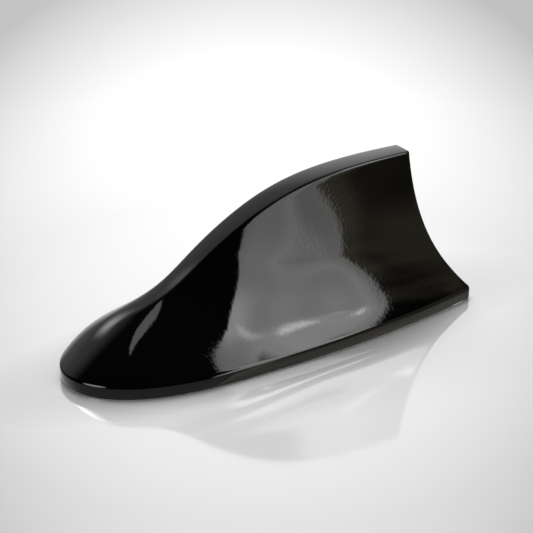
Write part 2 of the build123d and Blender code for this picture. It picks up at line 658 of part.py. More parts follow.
# Foam dampers between the roof plate and the inside of the spine
foams = []
for share in (0.45, 0.88):
    middle = ROOF_FRONT_X + share * (ROOF_REAR_X - ROOF_FRONT_X)
    front_x = middle - FOAM_LENGTH / 2
    rear_x = middle + FOAM_LENGTH / 2
    top_line = under_spine(front_x, rear_x, 1.15 * WALL + FOAM_CLEARANCE)
    low = under_spine(front_x, rear_x, roof_gap - 0.1)
    foams.append(slab((top_line, [low[-1], low[3], low[0]]), FOAM_WIDTH))
write("foam_dampers", Compound(children=foams))
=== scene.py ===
"""Looks of the shark fin aerial: gloss moulded cover, foam foot, inner parts and a pale studio floor."""

import math

import bmesh
import bpy
from bpy.props import FloatProperty, FloatVectorProperty, PointerProperty
from bpy.types import Operator, Panel, PropertyGroup
from mathutils import Matrix, Vector


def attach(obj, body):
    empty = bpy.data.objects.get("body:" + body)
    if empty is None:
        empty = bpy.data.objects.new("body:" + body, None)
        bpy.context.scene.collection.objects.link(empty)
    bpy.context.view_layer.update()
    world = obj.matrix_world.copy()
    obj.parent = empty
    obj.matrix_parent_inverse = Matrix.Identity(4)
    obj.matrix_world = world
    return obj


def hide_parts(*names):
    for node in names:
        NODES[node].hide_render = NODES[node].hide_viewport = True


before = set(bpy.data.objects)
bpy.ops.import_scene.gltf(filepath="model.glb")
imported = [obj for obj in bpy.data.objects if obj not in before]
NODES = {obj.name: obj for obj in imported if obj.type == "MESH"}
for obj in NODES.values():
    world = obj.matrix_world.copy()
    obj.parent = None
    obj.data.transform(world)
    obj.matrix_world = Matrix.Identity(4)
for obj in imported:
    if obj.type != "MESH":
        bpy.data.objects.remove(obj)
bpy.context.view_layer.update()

bl_info = {
    "name": "Shark fin aerial",
    "version": (1, 0, 0),
    "blender": (4, 5, 0),
    "location": "View3D > Sidebar > Aerial",
    "description": "Finishes a moulded roof aerial and sets it on a pale studio floor",
    "category": "Object",
}

# length and width of the CAD cover, to a hundredth of a millimetre
LENGTH, WIDTH = [round(side, 5) for side in NODES["fin_cover"].dimensions[:2]]
MM = 0.001
# vertices nearer than this are merged, and edges that turn by more than this angle stay sharp
WELD = 0.000004
SHARP_ANGLE = 0.7
# how often a search halves its range
HALVINGS = 34


def size(name, description, default, low=0.0, high=1.0):
    """Property that holds a length in metres."""
    return FloatProperty(
        name=name, description=description, default=default, min=low, max=high, unit="LENGTH", precision=5
    )


def share(name, description, default, low=0.0, high=1.0):
    """Property that holds a plain number."""
    return FloatProperty(name=name, description=description, default=default, min=low, max=high)


def turn(name, description, degrees):
    """Property that holds an angle."""
    return FloatProperty(name=name, description=description, default=math.radians(degrees), subtype="ANGLE")


def tone(name, description, default):
    """Property that holds a colour."""
    return FloatVectorProperty(
        name=name, description=description, default=default, min=0.0, max=1.0, size=3, subtype="COLOR"
    )


class AerialShape(PropertyGroup):
    """Sizes of the cover's skin."""

    length: size("Length", "Length of the rim", LENGTH)
    width: size("Width", "Width of the rim at its widest place", WIDTH)
    height: size("Height", "Height of the spine's rear end above the rim's foot", 0.06159)
    tail_width: size("Tail width", "Width of the rim at the tail", 0.0325)
    widest: size("Widest place", "Distance from the nose to the widest place", 0.052)
    nose_fullness: share("Nose fullness", "Share of the half width at which the nose turns", 0.46)
    shoulder_fullness: share("Shoulder fullness", "Share of the nose that is bowed out", 0.72)
    tail_taper: share("Tail taper", "Slope of the sides at the tail", 0.255)
    tail_corner: size("Tail corner", "Rounding of the rim's rear corners", 0.002)
    skirt_lift: size("Skirt lift", "Gap between the floor and the rim", 0.0004)
    rim_height: size("Rim height", "Height of the upright rim", 0.0044)
    rim_round: size("Rim rounding", "Rounding of the rim's top edge", 0.0006)
    wall: size("Wall", "Thickness of the cover's wall", 0.0016)
    spine_front: size("Spine width, front", "Width of the spine at the nose", 0.004)
    spine_middle: size("Spine width, middle", "Width of the spine half way", 0.0104)
    spine_rear: size("Spine width, rear", "Width of the spine at the rear", 0.0094)
    spine_crown: size("Spine crown", "Rise of the spine between its edges", 0.00015)
    crease: size("Crease", "Rounding between the spine and the flanks", 0.0009)
    knee: size("Knee", "Distance from the nose to the spine's knee", 0.046)
    knee_height: size("Knee height", "Height of the spine's knee", 0.0323)
    knee_slope: share("Knee slope", "Slope of the spine at its knee", 0.765, 0.0, 3.0)
    nose_slope: share("Nose slope", "Slope of the nose at the rim", 1.38, 0.0, 4.0)
    nose_reach: share("Nose reach", "Share of the nose that keeps its first slope", 0.36)
    spine_end: size("Spine end", "Distance from the tail to the spine's rear end", 0.0237)
    blend_end: size("Blend end", "Distance from the nose to where the dome has become a fin", 0.1)
    flank_drop: share("Flank drop", "Share of the flank that stands upright", 0.62)
    flank_lean: share("Flank lean", "Lean of the upright part of the flank", 0.045)
    flare_run: share("Flare run", "Share of the half width that flares out", 0.62)
    flare_slope: share("Flare slope", "Slope of the flare at the rim", 0.42)
    trail_run: size("Trailing edge run", "Bow of the trailing edge at its top", 0.0032)
    trail_round: size("Trailing edge rounding", "Rounding of the trailing edges", 0.0009)
    trail_slope: share("Trailing edge slope", "Slope of the trailing edge at its foot", 1.0, 0.0, 4.0)


class AerialFinishes(PropertyGroup):
    """Colours and surface qualities of the aerial."""

    cover_colour: tone("Cover colour", "Body colour of the gloss moulding", (0.0021, 0.0021, 0.002))
    cover_roughness: share("Cover roughness", "Blur of what the gloss moulding mirrors", 0.035)
    peel_size: size("Peel size", "Width of the shallow waves in the lacquer", 0.0012)
    peel_depth: size("Peel depth", "Height of the shallow waves in the lacquer", 0.000016)
    base_colour: tone("Base colour", "Colour of the grained base moulding", (0.018, 0.018, 0.019))
    rubber_colour: tone("Rubber colour", "Colour of the seal and the grommet", (0.014, 0.014, 0.015))
    pad_colour: tone("Pad colour", "Colour of the adhesive foam", (0.035, 0.035, 0.037))
    mask_colour: tone("Board colour", "Colour of the solder mask", (0.012, 0.11, 0.045))
    track_colour: tone("Track colour", "Colour of the mask over a copper track", (0.03, 0.2, 0.085))
    carrier_colour: tone("Carrier colour", "Colour of the former and the carrier", (0.72, 0.70, 0.65))
    copper_colour: tone("Copper colour", "Colour of the coil's wire", (0.72, 0.31, 0.14))
    damper_colour: tone("Damper colour", "Colour of the foam dampers", (0.16, 0.16, 0.17))


class AerialStage(PropertyGroup):
    """Floor, light and camera around the aerial."""

    # the floor's colour is painted from the first colour in its middle, as a pool of light, to the darker
    # edge colour, as shade away from it
    floor_colour: tone("Floor colour", "Colour of the pale floor", (0.97, 0.97, 0.97))
    floor_painted_falloff: tone("Floor edge", "Colour of the floor away from the middle", (0.37, 0.37, 0.37))
    wall_colour: tone("Wall colour", "Colour of the wall behind the floor", (0.1, 0.1, 0.1))
    floor_gloss: share("Floor gloss", "Share of the floor's light that it mirrors", 0.45)
    # painted contact shade: the floor mirrors the dark aerial more beside its foot, which darkens the floor
    # there
    floor_contact_shade: share("Floor contact", "Share by which the floor mirrors more beside the aerial", 0.24)
    lamp_power: FloatProperty(
        name="Lamp",
        description="Power of the wide lamp overhead",
        default=40.0,
        min=0.0,
        max=500.0,
        subtype="POWER",
    )
    strip_light: share("Strip light", "Brightness of the tall light ahead and to the right", 1.0, 0.0, 10.0)
    back_light: share("Back light", "Brightness of the pale wall behind", 1.0, 0.0, 10.0)
    card_light: share("Card light", "Brightness of the soft card beside the nose", 2.1, 0.0, 10.0)
    camera_turn: turn("Camera turn", "Angle of the camera round the aerial", -30.82)
    camera_rise: turn("Camera rise", "Angle of the camera above the floor", 24.62)
    camera_distance: size("Camera distance", "Distance from the camera to its aim", 0.60483, 0.0, 10.0)
    lens: share("Lens", "Focal length on a 36 mm sensor, in millimetres", 110.62, 1.0, 500.0)


def sums(operation, swapped=False):
    """Operator of a value that adds one Math node."""

    def method(self, other=0.0):
        first, second = (other, self) if swapped else (self, other)
        return self.owner.node("ShaderNodeMath", {"operation": operation}, {0: first, 1: second})

    return method


class Value:
    """A socket that takes part in sums: each operator adds the Math node that it stands for."""

    __add__ = sums("ADD")
    __radd__ = sums("ADD", swapped=True)
    __sub__ = sums("SUBTRACT")
    __rsub__ = sums("SUBTRACT", swapped=True)
    __mul__ = sums("MULTIPLY")
    __rmul__ = sums("MULTIPLY", swapped=True)
    __truediv__ = sums("DIVIDE")
    __pow__ = sums("POWER")
    __abs__ = sums("ABSOLUTE")
    # | takes the greater of two values, & the lesser, and both come after + and -
    __or__ = sums("MAXIMUM")
    __and__ = sums("MINIMUM")

    def __init__(self, owner, socket):
        self.owner = owner
        self.socket = socket

    def __neg__(self):
        return self * -1.0


class Nodes:
    """Node tree of a material or of the world, and the patterns that are added to it."""

    def __init__(self, tree):
        self.tree = tree
        self.tree.nodes.clear()

    def node(self, kind, settings=None, inputs=None, output=0):
        """Adds a node, sets it up, links or fills its sockets, and returns one of its outputs."""
        made = self.tree.nodes.new(kind)
        for key, value in (settings or {}).items():
            setattr(made, key, value)
        for key, value in (inputs or {}).items():
            if isinstance(value, Value):
                self.tree.links.new(value.socket, made.inputs[key])
            else:
                made.inputs[key].default_value = value
        return Value(self, made.outputs[output] if made.outputs else None)

    def place(self, scale=(1, 1, 1), shift=(0, 0, 0)):
        """Object coordinates, scaled and shifted."""
        spot = self.node("ShaderNodeTexCoord", output="Object")
        inputs = {"Vector": spot, "Location": shift, "Scale": scale}
        return self.node("ShaderNodeMapping", {"vector_type": "POINT"}, inputs)

    def axes(self, spot):
        """The three coordinates of a place as values."""
        first = self.node("ShaderNodeSeparateXYZ", None, {0: spot})
        return [Value(self, socket) for socket in first.socket.node.outputs]

    def noise(self, width, detail=2.0, roughness=0.5, spot=None):
        """Cloudy pattern whose patches are about width metres across."""
        inputs = {"Vector": spot or self.place(), "Scale": 1 / width}
        inputs.update({"Detail": detail, "Roughness": roughness})
        return self.node("ShaderNodeTexNoise", {"noise_dimensions": "3D"}, inputs)

    def cells(self, width):
        """Distance from the middles of cells about width metres across."""
        inputs = {"Vector": self.place(), "Scale": 1 / width}
        return self.node("ShaderNodeTexVoronoi", {"feature": "F1"}, inputs)

    def mix(self, factor, first, second):
        """Colour between two colours."""
        settings = {"data_type": "RGBA", "blend_type": "MIX", "clamp_factor": True}
        return self.node("ShaderNodeMix", settings, {0: factor, 6: first, 7: second}, output=2)

    def fit(self, value, low, high, new_low=0.0, new_high=1.0, smooth=False):
        """Value carried from one range to another, held at its ends."""
        kind = "SMOOTHSTEP" if smooth else "LINEAR"
        inputs = {"Value": value, "From Min": low, "From Max": high, "To Min": new_low, "To Max": new_high}
        return self.node("ShaderNodeMapRange", {"interpolation_type": kind, "clamp": True}, inputs)

    def vary(self, pattern, low, high):
        """Values from low to high over the range that a cloudy pattern mostly has."""
        return self.fit(pattern, 0.3, 0.7, low, high)

    def step(self, value, low, high):
        """Soft step from 0 to 1."""
        return self.fit(value, low, high, smooth=True)

    def ridge(self, value, middle, width):
        """Soft hump that is 1 in its middle and 0 a width away from it."""
        return self.step(1 - abs(value - middle) / width, 0.0, 1.0)

    def along(self, spot, way):
        """Share of a direction that lies along a way."""
        settings = {"operation": "DOT_PRODUCT"}
        return self.node("ShaderNodeVectorMath", settings, {0: spot, 1: way}, output="Value")

    def bump(self, height, depth):
        """Normal of a surface with that height on it, depth metres deep."""
        return self.node("ShaderNodeBump", None, {"Height": height, "Distance": depth, "Strength": 1.0})


class Finish(Nodes):
    """One material."""

    def __init__(self, name):
        self.material = bpy.data.materials.new(name)
        self.material.use_nodes = True
        super().__init__(self.material.node_tree)

    def close(self, shader):
        """Ends the material in a shader."""
        self.node("ShaderNodeOutputMaterial", None, {"Surface": shader})

    def surface(self, **sockets):
        """Ends the material in one surface shader."""
        inputs = {key.replace("_", " "): value for key, value in sockets.items()}
        self.close(self.node("ShaderNodeBsdfPrincipled", None, inputs))


def grey(value):
    """Neutral colour."""
    return (value, value, value, 1.0)


def colour(prop, share_of=1.0):
    """Colour of a property with full alpha, or a darker or paler one."""
    return (*[min(part * share_of, 1.0) for part in prop], 1.0)


def dress(material, *nodes):
    """Gives CAD nodes their finish."""
    for node in nodes:
        materials = NODES[node].data.materials
        materials.clear()
        materials.append(material)


def bezier(points, t):
    """Point of a curve with three or four control points."""
    s = 1 - t
    if len(points) == 3:
        weights = (s * s, 2 * s * t, t * t)
    else:
        weights = (s**3, 3 * s * s * t, 3 * s * t * t, t**3)
    return tuple(sum(w * p[i] for w, p in zip(weights, points)) for i in range(len(points[0])))


def solve(measure, low, high, target):
    """Place between low and high where a rising measure reaches the target."""
    for _ in range(HALVINGS):
        middle = (low + high) / 2
        if measure(middle) < target:
            low = middle
        else:
            high = middle
    return (low + high) / 2


def ease(value, start, end):
    """Smooth step from 0 to 1."""
    t = min(max((value - start) / (end - start), 0.0), 1.0)
    return t * t * (3 - 2 * t)


class Spline:
    """Smooth curve through values at rising places."""

    def __init__(self, places, values):
        self.places = places
        self.values = values
        last = len(places) - 1
        gaps = [b - a for a, b in zip(places, places[1:])]
        rises = [(b - a) / gap for a, b, gap in zip(values, values[1:], gaps)]
        bends = [0.0] * (last + 1)
        shares = [0.0] * (last + 1)
        for i in range(1, last):
            pivot = 2 * (gaps[i - 1] + gaps[i]) - gaps[i - 1] * shares[i - 1]
            shares[i] = gaps[i] / pivot
            bends[i] = (6 * (rises[i] - rises[i - 1]) - gaps[i - 1] * bends[i - 1]) / pivot
        for i in range(last - 1, 0, -1):
            bends[i] -= shares[i] * bends[i + 1]
        self.bends = bends

    def at(self, x):
        """Value at x; the end pieces run on past the ends."""
        i = 0
        while i < len(self.places) - 2 and x > self.places[i + 1]:
            i += 1
        low, high = self.places[i], self.places[i + 1]
        gap = high - low
        a, b = (high - x) / gap, (x - low) / gap
        curve = (a**3 - a) * self.bends[i] + (b**3 - b) * self.bends[i + 1]
        return a * self.values[i] + b * self.values[i + 1] + curve * gap * gap / 6


class Skin:
    """Outer surface of the cover in millimetres: ribs across the fin, joined along it."""

    # distances of the first ribs from the nose; even steps carry them on past the tail
    STATIONS = (-2, 2, 6, 11, 17, 24, 32, 42, 54)
    LATER_STATIONS = 8
    LAST_STATION_PAST_TAIL = 4.0
    # the ribs run on past the rim, and the trailing edge past the spine, so that they cross cleanly
    OVERRUN = 12.0
    TRAIL_OVERRUN = 1.5
    # ribs nearer to the nose than this take the width here, and their flanks reach less far
    FIRST_WIDTH_RUN = 2.0
    # how far the curves' handles reach, as shares of their runs
    SIDE_HANDLE = 0.35
    TRAIL_TOP_HANDLE = 0.55
    TRAIL_FOOT_HANDLE = 0.45
    KNEE_FRONT_HANDLE = 0.36
    KNEE_REAR_HANDLE = 0.33
    SPINE_END_HANDLE = 0.5
    NOSE_COLUMNS = 64
    SIDE_COLUMNS = 72
    REAR_COLUMNS = 70
    CORNER_COLUMNS = 6
    SPINE_ROWS = 5
    CREASE_ROWS = 6
    FLANK_ROWS = 60
    RIM_ROWS = 6
    # the columns fan out up to here behind the nose, and lean back from here before the tail
    FAN_RUN = 45.0
    LEAN_RUN = 58.0
    # the trailing edge is looked for from this far ahead of the spine's rear end
    TRAIL_SEARCH = 4.0
    # a flank in the fan is this much longer than its line in plan
    FAN_STRETCH = 1.15
    LENGTH_MARKS = 40
    # the last row of the flank stands this far from the rim, the last column from the trailing edge
    RIM_STRIP = 1.2
    TAIL_STRIP = 2.6
    # the crease starts this far behind the nose, and the tip's sheet widens this much down to the rim
    TIP_RUN = 5.0
    TIP_SPREAD = 1.25
    # the foot of the rim starts at this height and turns in by these steps, at these heights
    FOOT_RISE = 0.25
    FOOT_INSETS = (0.07, 0.25, 1.5)
    FOOT_LIFTS = (0.07, 0.0, 0.0)
    # rounding at the spine's rear end, and the height over which the rim's corner fades into the fin
    SPINE_END_ROUND = 0.3
    CORNER_FADE = 9.0

    def __init__(self, shape):
        for key, prop in AerialShape.__annotations__.items():
            scale = MM if prop.keywords.get("unit") == "LENGTH" else 1.0
            setattr(self, key, getattr(shape, key) / scale)
        self.nose = -self.length / 2
        self.tail = self.length / 2
        self.rim_top = self.skirt_lift + self.rim_height
        self.top = self.skirt_lift + self.height
        self.widest_x = self.nose + self.widest
        self.knee_x = self.nose + self.knee
        self.spine_rear_x = self.tail - self.spine_end
        self.join_x = self.nose + self.FAN_RUN
        front, rear = self.widest, self.tail - self.widest_x
        half, tail_half = self.width / 2, self.tail_width / 2
        self.nose_side = (
            (self.nose, 0.0),
            (self.nose, self.nose_fullness * half),
            (self.widest_x - self.shoulder_fullness * front, half),
            (self.widest_x, half),
        )
        self.tail_side = (
            (self.widest_x, half),
            (self.widest_x + self.SIDE_HANDLE * rear, half),
            (self.tail - self.SIDE_HANDLE * rear, tail_half + self.SIDE_HANDLE * rear * self.tail_taper),
            (self.tail, tail_half),
        )
        high = (self.spine_rear_x, self.top + self.TRAIL_OVERRUN)
        drop, run = high[1] - self.rim_top, self.TRAIL_FOOT_HANDLE * self.spine_end
        self.trail = (
            high,
            (high[0] + self.trail_run, high[1] - self.TRAIL_TOP_HANDLE * drop),
            (self.tail - run, self.rim_top + run * self.trail_slope),
            (self.tail, self.rim_top),
        )
        places = [float(d) for d in self.STATIONS]
        step = (self.length + self.LAST_STATION_PAST_TAIL - places[-1]) / self.LATER_STATIONS
        places += [places[-1] + step * (i + 1) for i in range(self.LATER_STATIONS)]
        places = [self.nose + d for d in places]
        ribs = [self.rib(x) for x in places]
        self.splines = []
        for point in range(len(ribs[0])):
            self.splines.append([Spline(places, [rib[point][axis] for rib in ribs]) for axis in range(2)])

    def half_width(self, x):
        """Half width of the rim at x, run on straight past the tail."""
        if x > self.tail:
            return self.tail_width / 2 - (x - self.tail) * self.tail_taper
        side = self.nose_side if x < self.widest_x else self.tail_side
        return bezier(side, solve(lambda t: bezier(side, t)[0], 0.0, 1.0, x))[1]

    def spine_z(self, x):
        """Height of the spine's middle line."""
        if x < self.nose:
            return self.rim_top + (x - self.nose) * self.nose_slope
        if x > self.spine_rear_x:
            return self.top
        rear = self.spine_rear_x - self.knee_x
        knee_z = self.skirt_lift + self.knee_height
        rise = self.nose_reach * self.knee
        before, after = self.KNEE_FRONT_HANDLE * self.knee, self.KNEE_REAR_HANDLE * rear
        lower = (
            (self.nose, self.rim_top),
            (self.nose + rise, self.rim_top + rise * self.nose_slope),
            (self.knee_x - before, knee_z - before * self.knee_slope),
            (self.knee_x, knee_z),
        )
        upper = (
            (self.knee_x, knee_z),
            (self.knee_x + after, knee_z + after * self.knee_slope),
            (self.spine_rear_x - self.SPINE_END_HANDLE * rear, self.top),
            (self.spine_rear_x, self.top),
        )
        curve = lower if x < self.knee_x else upper
        return bezier(curve, solve(lambda t: bezier(curve, t)[0], 0.0, 1.0, x))[1]

    def spine_half(self, x):
        """Half width of the flat spine."""
        part = (x - self.nose) / (self.spine_rear_x - self.nose)
        front = self.spine_front * (1 - part) * (1 - 2 * part)
        middle = self.spine_middle * 4 * part * (1 - part)
        return (front + middle + self.spine_rear * part * (2 * part - 1)) / 2

    def rib(self, x):
        """Half of a cross section: middle and edge of the spine, crease, and the flank's control points."""
        blend = ease(x - self.nose, 0.0, self.blend_end)
        w, top = self.spine_half(x), self.spine_z(x)
        near = max(x, self.nose + self.FIRST_WIDTH_RUN)
        b = self.half_width(near)
        bow = (self.spine_z(near) - self.rim_top) / b**2
        reach = math.sqrt(b**2 * (1 - (near - x) / self.FIRST_WIDTH_RUN) + self.OVERRUN**2)
        third = (reach - w) / 3
        dome = (
            (w + third, top - bow * w * w - 2 * bow * w * third),
            (reach - third, top - bow * reach**2 + 2 * bow * reach * third),
            (reach, top - bow * reach**2),
        )
        crown = (1 - blend) * bow + blend * self.spine_crown / w**2
        corner = (w, top - crown * w * w)
        drop, run = corner[1] - self.rim_top, b - w
        fin = (
            (w + self.flank_drop * drop * self.flank_lean, corner[1] - self.flank_drop * drop),
            (b - self.flare_run * run, self.rim_top + self.flare_run * run * self.flare_slope),
        )
        first = tuple((1 - blend) * d + blend * f for d, f in zip(dome[0], fin[0]))
        second = tuple((1 - blend) * d + blend * f for d, f in zip(dome[1], fin[1]))
        lean = math.hypot(first[0] - corner[0], first[1] - corner[1])
        start = tuple(c + self.crease * (f - c) / lean for c, f in zip(corner, first))
        edge = (w - self.crease, top - crown * (w - self.crease) ** 2)
        end = dome[2]
        if x >= near and blend > 0:
            # the flank runs through the rim's top edge and on past it
            t = (b - w) / (reach - w)
            s = 1 - t
            known = (s**3, 3 * s * s * t, 3 * s * t * t)
            rest = [sum(k * p[i] for k, p in zip(known, (start, first, second))) for i in range(2)]
            end = ((b - rest[0]) / t**3, (self.rim_top - rest[1]) / t**3)
        return (0.0, top), edge, corner, start, first, second, end

    def section(self, x):
        """Rib at any place along the fin."""
        return [(across.at(x), up.at(x)) for across, up in self.splines]

    def upper_rows(self, x):
        """Points across half of the spine and down its rounded crease."""
        middle, edge, corner, start = self.section(x)[:4]
        rows = []
        for i in range(self.SPINE_ROWS + 1):
            part = i / self.SPINE_ROWS
            rows.append((x, edge[0] * part, edge[1] + (middle[1] - edge[1]) * (1 - part * part)))
        for i in range(1, self.CREASE_ROWS + 1):
            rows.append((x, *bezier((edge, corner, start), i / self.CREASE_ROWS)))
        return rows

    def flank(self, x):
        """The flank's curve at x, and how far along it the rim stands."""
        curve = self.section(x)[3:]
        return curve, solve(lambda t: bezier(curve, t)[0], 0.0, 1.0, self.half_width(x))

    def flank_z(self, x, along):
        """Height of the flank at x, a share of the way down to the rim."""
        curve, rim_t = self.flank(x)
        return bezier(curve, along * rim_t)[1]

    def height_at(self, x, y):
        """Height of the skin over a place in plan."""
        middle, edge, corner, start, first, second, end = self.section(x)
        if y <= edge[0]:
            return edge[1] + (middle[1] - edge[1]) * (1 - (y / edge[0]) ** 2)
        curve = (edge, corner, start) if y < start[0] else (start, first, second, end)
        return bezier(curve, solve(lambda t: bezier(curve, t)[0], 0.0, 1.0, y))[1]

    def trail_z(self, x):
        """Height of the trailing edge's curve at x."""
        if x <= self.trail[0][0]:
            return self.trail[0][1]
        return bezier(self.trail, solve(lambda t: bezier(self.trail, t)[0], 0.0, 1.0, x))[1]

    def flank_shares(self, length):
        """Shares of a flank at which its rows stand, the last one on the rim."""
        last = 1 - self.RIM_STRIP / length
        return [last * i / (self.FLANK_ROWS - 1) for i in range(1, self.FLANK_ROWS)] + [1.0]

    def rim_rows(self, inner, rim):
        """Points over the rim's rounded top edge, down its wall and round its foot."""
        inner, rim = Vector(inner), Vector(rim)
        slope = (inner - rim).normalized()
        inward = Vector((slope.x, slope.y, 0)).normalized()
        down = Vector((0, 0, -1))
        ends = (rim + slope * self.rim_round, rim, rim + down * self.rim_round)
        rows = [bezier(ends, i / self.RIM_ROWS) for i in range(self.RIM_ROWS + 1)]
        foot = rim.copy()
        foot.z = self.skirt_lift
        rows.append(tuple(foot + Vector((0, 0, self.FOOT_RISE))))
        for inset, lift in zip(self.FOOT_INSETS, self.FOOT_LIFTS):
            rows.append(tuple(foot + Vector((0, 0, lift)) + inward * inset))
        return rows

    def column(self, upper, flank):
        """Whole column of points, from the spine's middle to the rim's foot."""
        return upper + flank[:-1] + self.rim_rows(flank[-2], flank[-1])

    def fan_flank(self, inner, rim):
        """Flank of the nose over a straight line in plan, from the crease to the rim."""
        curve, rim_t = self.flank(self.join_x)
        start = curve[0][0]
        span = self.half_width(self.join_x) - start
        reach = math.hypot(rim[0] - inner[0], rim[1] - inner[1])
        flank = []
        for along in self.flank_shares(reach * self.FAN_STRETCH):
            k = (bezier(curve, along * rim_t)[0] - start) / span
            x = inner[0] + (rim[0] - inner[0]) * k
            y = inner[1] + (rim[1] - inner[1]) * k
            flank.append((x, y, self.height_at(x, y)))
        return flank

    def nose_columns(self):
        """Columns that fan round the nose, from beside its tip to the first upright rib."""
        lead = self.nose + self.TIP_RUN
        first = self.nose_turn(self.upper_rows(lead)[-1][1] * self.TIP_SPREAD)
        last = solve(lambda t: bezier(self.nose_side, t)[0], 0.0, 1.0, self.join_x)
        columns = []
        for i in range(self.NOSE_COLUMNS):
            part = i / self.NOSE_COLUMNS
            rim = bezier(self.nose_side, first + (last - first) * part)
            upper = self.upper_rows(lead + (self.join_x - lead) * part)
            columns.append(self.column(upper, self.fan_flank(upper[-1], rim)))
        return columns

    def nose_turn(self, y):
        """How far round the nose the rim stands y from the middle line."""
        return solve(lambda t: bezier(self.nose_side, t)[1], 0.0, 0.5, y)

    def tip_columns(self):
        """Columns of the nose's tip, from the spine's front end to the rim."""
        columns = []
        for point in self.upper_rows(self.nose + self.TIP_RUN):
            rim = bezier(self.nose_side, self.nose_turn(point[1] * self.TIP_SPREAD))
            if point[1] == 0:
                rim = (self.nose, 0.0)
            columns.append(self.column([point], self.fan_flank(point, rim)))
        return columns

    def fin_column(self, upper_x, flank_x, rim_x):
        """Column behind the nose, with its own place along the fin for each row."""
        upper = [self.upper_rows(x)[i] for i, x in enumerate(upper_x)]
        flank = []
        for x, along in zip(flank_x, self.flank_shares(self.run_length)):
            curve, rim_t = self.flank(min(x, rim_x))
            flank.append((x, *bezier(curve, along * rim_t)))
        return self.column(upper, flank)

    def columns(self):
        """All columns of one half, from the nose round the rear corner, and the rows of the rear face."""
        join_x, rear_x = self.join_x, self.tail - self.LEAN_RUN
        upper_count = self.SPINE_ROWS + self.CREASE_ROWS + 1
        curve, rim_t = self.flank(rear_x)
        marks = [bezier(curve, rim_t * i / self.LENGTH_MARKS) for i in range(self.LENGTH_MARKS + 1)]
        self.run_length = sum(math.dist(a, b) for a, b in zip(marks, marks[1:]))
        columns = self.nose_columns()
        for i in range(self.SIDE_COLUMNS):
            x = join_x + (rear_x - join_x) * i / self.SIDE_COLUMNS
            columns.append(self.fin_column([x] * upper_count, [x] * self.FLANK_ROWS, x))
        # the columns lean back until the last one lies on the trailing edge
        search = (self.spine_rear_x - self.TRAIL_SEARCH, self.tail)
        ends = []
        for row in range(upper_count):
            ends.append(solve(lambda x: self.upper_rows(x)[row][2] - self.trail_z(x), *search, 0.0))
        flank_ends = []
        for along in self.flank_shares(self.run_length)[:-1]:
            flank_ends.append(solve(lambda x: self.flank_z(x, along) - self.trail_z(x), *search, 0.0))
        flank_ends.append(self.tail)
        for i in range(self.REAR_COLUMNS + 1):
            part = i / self.REAR_COLUMNS
            upper_x = [rear_x + (end - self.TAIL_STRIP - rear_x) * part for end in ends]
            flank_x = [rear_x + (end - self.TAIL_STRIP - rear_x) * part for end in flank_ends]
            columns.append(self.fin_column(upper_x, flank_x, self.tail))
        corner = self.fin_column(ends, flank_ends, self.tail)
        for row, inset in zip((-3, -2, -1), self.FOOT_INSETS):
            x, y, z = corner[row]
            corner[row] = (x - inset, y, z)
        return columns, self.round_tail(columns, corner, upper_count)

    def round_tail(self, columns, corner, upper_count):
        """Adds the columns round the trailing edge and returns the rows of the rear face."""
        before = [Vector(p) for p in columns[-1]]
        sharp = [Vector(p) for p in corner]
        inward = Vector((0, -1, 0))
        top, bend = self.trail[:2]
        below = Vector((bend[0] - top[0], 0, bend[1] - top[1])).normalized()
        rounds = []
        for row, point in enumerate(sharp):
            crease = min(max((row - self.SPINE_ROWS) / self.CREASE_ROWS, 0.0), 1.0)
            way = (below * (1 - crease) + inward * crease).normalized()
            foot = 1 - ease(point.z, self.rim_top, self.rim_top + self.CORNER_FADE)
            radius = self.SPINE_END_ROUND + (self.trail_round - self.SPINE_END_ROUND) * crease
            radius += (self.tail_corner - self.trail_round) * foot
            ends = (point + (before[row] - point).normalized() * radius, point, point + way * radius)
            rounds.append([bezier(ends, i / self.CORNER_COLUMNS) for i in range(self.CORNER_COLUMNS + 1)])
        for i in range(self.CORNER_COLUMNS + 1):
            columns.append([points[i] for points in rounds])
        last = columns[-1]
        rows = [last[: self.SPINE_ROWS + 1]]
        shares = [point[1] / last[self.SPINE_ROWS][1] for point in rows[0]]
        for x, y, z in last[self.SPINE_ROWS + 1 :]:
            rows.append([(x, y * part, z) for part in shares])
        return rows


def lay(mesh, rows):
    """Adds a grid whose vertices stand at the given rows of points."""
    across, along = len(rows[0]) - 1, len(rows) - 1
    made = bmesh.ops.create_grid(mesh, x_segments=across, y_segments=along, size=0.5)
    for vert in made["verts"]:
        column = round((vert.co.x + 0.5) * across)
        row = round((vert.co.y + 0.5) * along)
        vert.co = Vector(rows[row][column]) * MM


def add_piece(name, mesh, material, node):
    """Makes a smooth shaded object of a mesh, which may stand for a CAD node."""
    for face in mesh.faces:
        face.smooth = True
    for edge in mesh.edges:
        edge.smooth = not edge.is_manifold or edge.calc_face_angle() < SHARP_ANGLE
    data = bpy.data.meshes.new(name)
    mesh.to_mesh(data)
    mesh.free()
    data.materials.append(material)
    piece = bpy.data.objects.new(name, data)
    bpy.context.scene.collection.objects.link(piece)
    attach(piece, "root")
    if node:
        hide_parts(node)
    return piece


def add_foam(name, tint, pore, shade, roughness, node):
    """Foam whose pores, pore metres wide, are painted darker by a share, as shade in their hollows."""
    foam = Finish(name)
    pores = foam.cells(width=pore)
    foam.surface(
        # painted shade: the colour darkens towards the low edges of the cells, in the foam's hollows
        Base_Color=foam.mix(foam.fit(pores, 0.1, 0.7), colour(tint), colour(tint, shade)),
        Roughness=roughness,
        Normal=foam.bump(1 - pores, depth=0.0002),
    )
    dress(foam.material, node)


